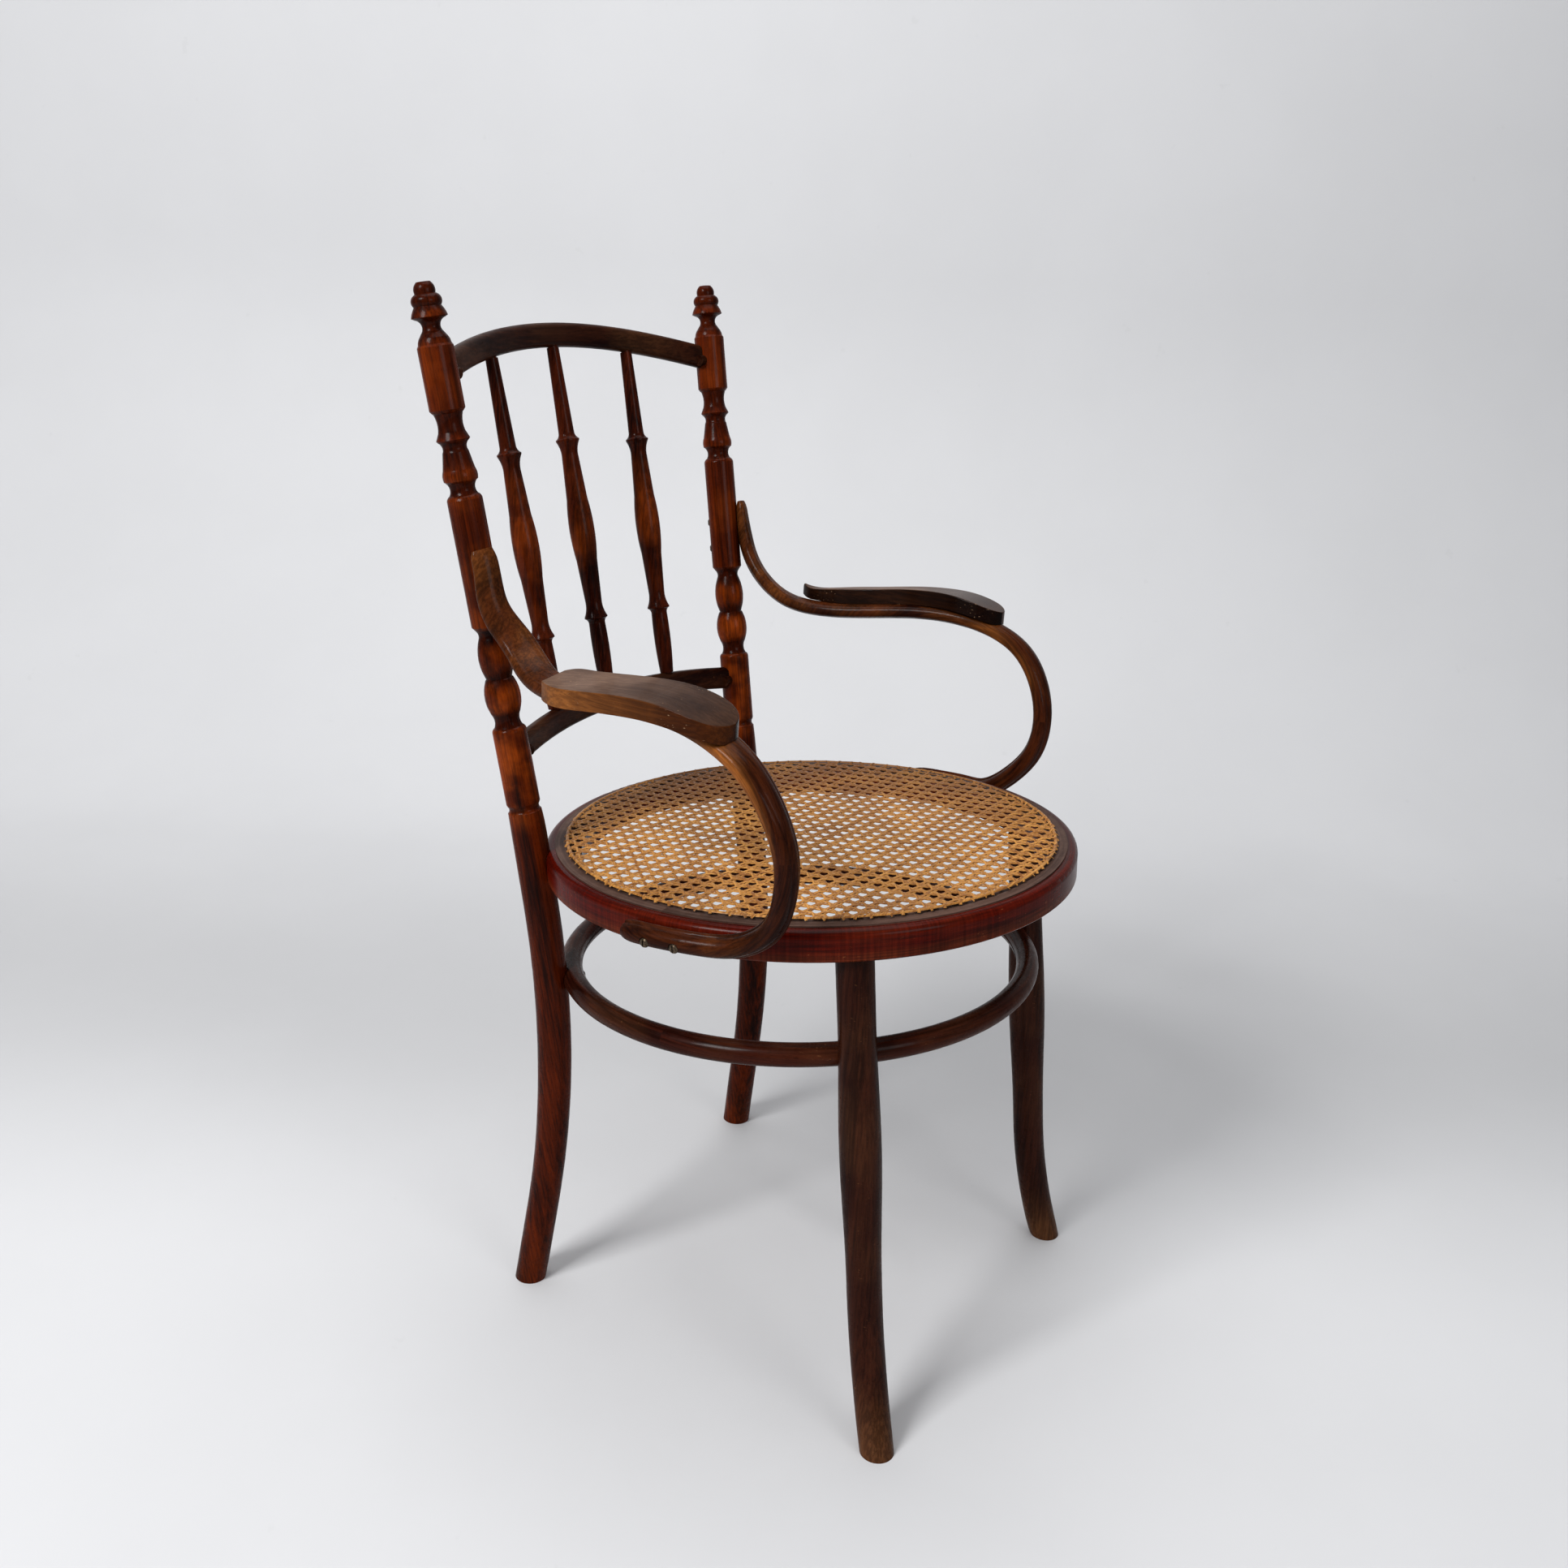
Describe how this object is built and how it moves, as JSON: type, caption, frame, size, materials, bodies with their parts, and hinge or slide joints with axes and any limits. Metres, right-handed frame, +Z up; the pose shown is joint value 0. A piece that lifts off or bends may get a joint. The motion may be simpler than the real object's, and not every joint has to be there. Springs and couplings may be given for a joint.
{
  "type": "armchair",
  "caption": "Bentwood armchair with a round caned seat, turned spindle back, looped arms with flat pads, and a hoop tying the legs.",
  "frame": {"origin": "on the floor under the middle of the chair's bounding box", "axes": "+Z up, -Y towards the front of the chair (the way the sitter faces), +X to the sitter's left"},
  "size_m": [0.5393, 0.5531, 0.9019],
  "materials": {
    "seat_wood": "dark red-brown stain, glossy polish worn on the shoulder",
    "turned_wood": "dark red-brown stain, glossy polish",
    "bent_wood": "dark brown stain, glossy polish, worn golden at the edges",
    "pad_wood": "brown stain, worn dull on top and golden at the sides",
    "cane": "split cane, aged golden brown, low sheen",
    "screw_metal": "dark tarnished slotted heads"
  },
  "bodies": {
    "root": {"seat_ring": "seat_wood", "cane_panel": "cane", "cane_binder": "cane", "back_post_left": "turned_wood", "back_post_right": "turned_wood", "front_leg_left": "turned_wood", "front_leg_right": "turned_wood", "leg_hoop": "bent_wood", "crest_rail": "bent_wood", "lower_back_rail": "bent_wood", "spindle_left": "turned_wood", "spindle_middle": "turned_wood", "spindle_right": "turned_wood", "arm_left": "bent_wood", "arm_right": "bent_wood", "arm_pad_left": "pad_wood", "arm_pad_right": "pad_wood", "arm_post_screws": "screw_metal", "arm_foot_screws": "screw_metal", "arm_pad_screws": "screw_metal", "hoop_screws": "screw_metal", "seat_to_post_screws": "screw_metal"}
  },
  "joints": []
}
